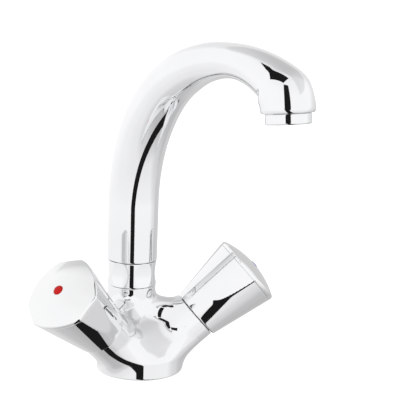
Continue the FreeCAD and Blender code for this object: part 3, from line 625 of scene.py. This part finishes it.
def turned_metal(name, color, roughness):
    """Machined metal with fine turning lines."""
    made = material(name, color, 1.0, roughness)
    grain = texture(made, "ShaderNodeTexNoise", 900.0, Detail=4.0)
    vary(made, grain, "Roughness", roughness * 0.75, roughness * 1.3)
    tone = texture(made, "ShaderNodeTexNoise", 140.0, Detail=3.0)
    tint(made, tone, tuple(0.86 * c for c in color), color)
    lines = texture(made, "ShaderNodeTexWave", 1400.0, Distortion=1.5, wave_type="RINGS")
    bump(made, lines, 0.00002, 0.4)
    return made


def moulded(name, color, roughness, grain_scale, relief, specular=0.5):
    """Rubber, plastic, fibre or enamel with a fine grain."""
    made = material(name, color, 0.0, roughness, Specular_IOR_Level=specular)
    grain = texture(made, "ShaderNodeTexNoise", grain_scale, Detail=4.0)
    vary(made, grain, "Roughness", roughness * 0.8, min(1.0, roughness * 1.2))
    tone = texture(made, "ShaderNodeTexNoise", grain_scale * 0.2, Detail=2.0)
    tint(made, tone, tuple(0.85 * c for c in color), color)
    bump(made, grain, relief, 0.5)
    return made


MATERIALS = {
    "chrome_plate": chrome("chrome_plate", (0.89, 0.895, 0.905)),
    "chrome_cap": chrome("chrome_cap", (0.90, 0.905, 0.91)),
    "brass": turned_metal("turned_brass", (0.78, 0.58, 0.27), 0.28),
    "spring_bronze": turned_metal("spring_bronze", (0.66, 0.44, 0.24), 0.32),
    "steel": turned_metal("turned_steel", (0.62, 0.63, 0.64), 0.25),
    "black_rubber": moulded("black_rubber", (0.022, 0.022, 0.023), 0.62, 1200.0, 0.00005),
    "fibre_seal": moulded("fibre_seal", (0.045, 0.04, 0.038), 0.8, 1500.0, 0.00008),
    "white_plastic": moulded("white_plastic", (0.82, 0.82, 0.80), 0.35, 800.0, 0.00002),
    "grey_plastic": moulded("grey_plastic", (0.50, 0.52, 0.53), 0.42, 900.0, 0.00003),
    "red_button": moulded("red_enamel", (0.60, 0.004, 0.003), 0.3, 500.0, 0.00001, specular=0.2),
    "blue_button": moulded("blue_enamel", (0.02, 0.04, 0.42), 0.3, 500.0, 0.00001, specular=0.2),
}
NODE_SLOTS = {part["node"]: part["material_slot"] for part in frame["record"]["subparts"]}
for name, piece in frame["nodes"].items():
    piece.data.materials.clear()
    piece.data.materials.append(MATERIALS[NODE_SLOTS[name]])
for piece in bpy.data.objects:
    if piece.type == "MESH" and "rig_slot" in piece:
        piece.data.materials.append(MATERIALS[piece["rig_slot"]])


# ---------------------------------------------------------------- studio

DARK = 0.012


def glowing_mesh(name, points, faces, shade, brightness):
    """A matt, glowing surface of the studio."""
    mesh = bpy.data.meshes.new(name)
    mesh.from_pydata([tuple(point) for point in points], [], faces)
    made = bpy.data.objects.new(name, mesh)
    bpy.context.scene.collection.objects.link(made)
    paint = material(name, (shade, shade, shade), 0.0, 0.9, Specular_IOR_Level=0.0,
                     Emission_Color=(1.0, 1.0, 1.0, 1.0), Emission_Strength=brightness)
    mesh.materials.append(paint)
    return made


def plane(name, centre, right, up, width, height, shade, brightness):
    """A flat rectangle."""
    right, up = Vector(right).normalized(), Vector(up).normalized()
    corners = [Vector(centre) + right * (a * width / 2) + up * (b * height / 2)
               for a, b in ((-1, -1), (1, -1), (1, 1), (-1, 1))]
    made = glowing_mesh(name, corners, [(0, 1, 2, 3)], shade, brightness)
    return made


def seen_in_chrome_only(card):
    """Leaves a screen visible only as a reflection."""
    card.visible_camera = False
    card.visible_diffuse = False
    card.visible_shadow = False


def heading_of(azimuth, elevation=0.0):
    """A direction from its azimuth, 0 in front and positive to the right, and elevation in degrees."""
    az, el = math.radians(azimuth), math.radians(elevation)
    return Vector((math.sin(az) * math.cos(el), -math.cos(az) * math.cos(el), math.sin(el)))


floor = plane("floor", (0, 0, -0.0002), (1, 0, 0), (0, 1, 0), 12.0, 12.0, 0.5, 0.76)
floor.visible_glossy = False

# The gap between the two light tents: a dark band that leans and runs on under the object.
GAP_AZIMUTH, GAP_LEAN, GAP_DISTANCE = -34.5, math.radians(17.0), 1.5
GAP_LOW, GAP_HIGH, GAP_HALF = -122.0, 5.0, math.radians(8.7)
GAP_ROWS, GAP_COLUMNS = 100, 8


def gap_point(u, v):
    """A point of the band: u runs from its low end to its high end, v across it, both 0 to 1."""
    climb = math.radians(GAP_LOW + (GAP_HIGH - GAP_LOW) * u)
    rise = math.cos(GAP_LEAN) * Vector((0, 0, 1)) + math.sin(GAP_LEAN) * heading_of(GAP_AZIMUTH - 90.0)
    forward = heading_of(GAP_AZIMUTH)
    middle = math.cos(climb) * forward + math.sin(climb) * rise
    angle = (2 * v - 1) * GAP_HALF
    return GAP_DISTANCE * (math.cos(angle) * middle + math.sin(angle) * rise.cross(forward))


def gap_band():
    points = [gap_point(i / GAP_ROWS, j / GAP_COLUMNS)
              for i in range(GAP_ROWS + 1) for j in range(GAP_COLUMNS + 1)]
    row = GAP_COLUMNS + 1
    faces = [(i * row + j, i * row + j + 1, (i + 1) * row + j + 1, (i + 1) * row + j)
             for i in range(GAP_ROWS) for j in range(GAP_COLUMNS)]
    made = glowing_mesh("tent_gap", points, faces, 0.0, DARK)
    return made


# The band, a flag over the spout's head and one in front of it, and a grey card behind the right handle.
seen_in_chrome_only(gap_band())
seen_in_chrome_only(plane("flag_above", (-0.052, -0.112, 0.30), (1, 0.25, 0), (-0.25, 1, 0), 0.062, 0.15,
                          0.0, DARK))
head_front = Vector((0.0, -0.14, 0.252)) + 0.12 * heading_of(-37.0)
seen_in_chrome_only(plane("flag_in_front", head_front, heading_of(53.0), (0, 0, 1), 0.052, 0.175, 0.0, DARK))
seen_in_chrome_only(plane("grey_card", (0.19, 0.075, 0.085), heading_of(45.0), (0, 0, 1), 0.30, 0.17,
                          0.0, 0.66))

# The tents glow evenly to the left and in front, less overhead, behind on the right and from the table.
world = bpy.data.worlds.new("studio")
bpy.context.scene.world = world
world.use_nodes = True
nodes, links = world.node_tree.nodes, world.node_tree.links
background = nodes["Background"]
heading = nodes.new("ShaderNodeTexCoord").outputs["Generated"]


def along_direction(direction, levels):
    """A smooth brightness that depends on how far a ray points along a direction."""
    dot = nodes.new("ShaderNodeVectorMath")
    dot.operation = "DOT_PRODUCT"
    dot.inputs[1].default_value = direction
    links.new(heading, dot.inputs[0])
    share = nodes.new("ShaderNodeMapRange")
    share.inputs["From Min"].default_value = -1.0
    share.inputs["From Max"].default_value = 1.0
    links.new(dot.outputs["Value"], share.inputs["Value"])
    ramp = nodes.new("ShaderNodeValToRGB")
    ramp.color_ramp.interpolation = "EASE"
    points = ramp.color_ramp.elements
    while len(points) < len(levels):
        points.new(0.5)
    for point, (place, level) in zip(points, levels):
        point.position = (place + 1.0) / 2
        point.color = (level, level, level, 1.0)
    links.new(share.outputs["Result"], ramp.inputs["Fac"])
    return ramp.outputs["Color"]


def mixed(how, first, second):
    """Two brightnesses combined by a blend type; inputs 6 and 7 are the mix node's two colours."""
    mix = nodes.new("ShaderNodeMix")
    mix.data_type = "RGBA"
    mix.blend_type = how
    mix.inputs[0].default_value = 1.0
    links.new(first, mix.inputs[6])
    links.new(second, mix.inputs[7])
    return mix.outputs[2]


UPWARD = (0.0, 0.0, 1.0)
height_glow = along_direction(UPWARD, [(-1.0, 0.50), (-0.88, 0.66), (-0.68, 0.84), (-0.35, 0.90),
                                       (-0.10, 0.98), (0.50, 0.97), (0.80, 0.92), (1.0, 0.86)])
ceiling_step = along_direction(UPWARD, [(-1.0, 1.0), (0.51, 1.0), (0.55, 0.83), (1.0, 0.80)])
open_left = along_direction(tuple(heading_of(-70.0)), [(-1.0, 0.0), (-0.55, 0.0), (0.0, 1.0), (1.0, 1.0)])
rear_ceiling = along_direction(tuple(heading_of(138.0, 46.0)),
                               [(-1.0, 1.0), (0.68, 1.0), (0.88, 0.84), (1.0, 0.74)])
right_table = along_direction(tuple(heading_of(112.0, -32.0)),
                              [(-1.0, 1.0), (0.50, 1.0), (0.85, 0.78), (1.0, 0.60)])
ceiling = mixed("MULTIPLY", mixed("LIGHTEN", ceiling_step, open_left), rear_ceiling)
glow = mixed("MULTIPLY", mixed("MULTIPLY", height_glow, ceiling), right_table)
links.new(glow, background.inputs["Color"])
background.inputs["Strength"].default_value = 1.08

scene = bpy.context.scene
scene.view_settings.view_transform = "Standard"
scene.view_settings.look = "None"


# ---------------------------------------------------------------- camera

AZ, EL, ROLL = math.radians(-33.0), math.radians(11.98), math.radians(2.07)
DISTANCE, TARGET_X, TARGET_Z = 800.0, 38.81, 105.42
SENSOR, FOCAL_LENGTH = 36.0, 115.966507
back = Vector((math.sin(AZ) * math.cos(EL), -math.cos(AZ) * math.cos(EL), math.sin(EL)))
right = Vector((math.cos(AZ), math.sin(AZ), 0.0))
up = back.cross(right)
across = math.cos(ROLL) * right + math.sin(ROLL) * up
upright = -math.sin(ROLL) * right + math.cos(ROLL) * up
target = TARGET_X * right + Vector((0.0, 0.0, TARGET_Z))
place = (target + DISTANCE * back) * MM
lens = bpy.data.cameras.new("camera")
lens.sensor_width = SENSOR
lens.lens = FOCAL_LENGTH
lens.clip_start = 0.01
camera = bpy.data.objects.new("camera", lens)
camera.matrix_world = Matrix(((across[0], upright[0], back[0], place[0]),
                              (across[1], upright[1], back[1], place[1]),
                              (across[2], upright[2], back[2], place[2]),
                              (0.0, 0.0, 0.0, 1.0)))
scene.collection.objects.link(camera)
scene.camera = camera
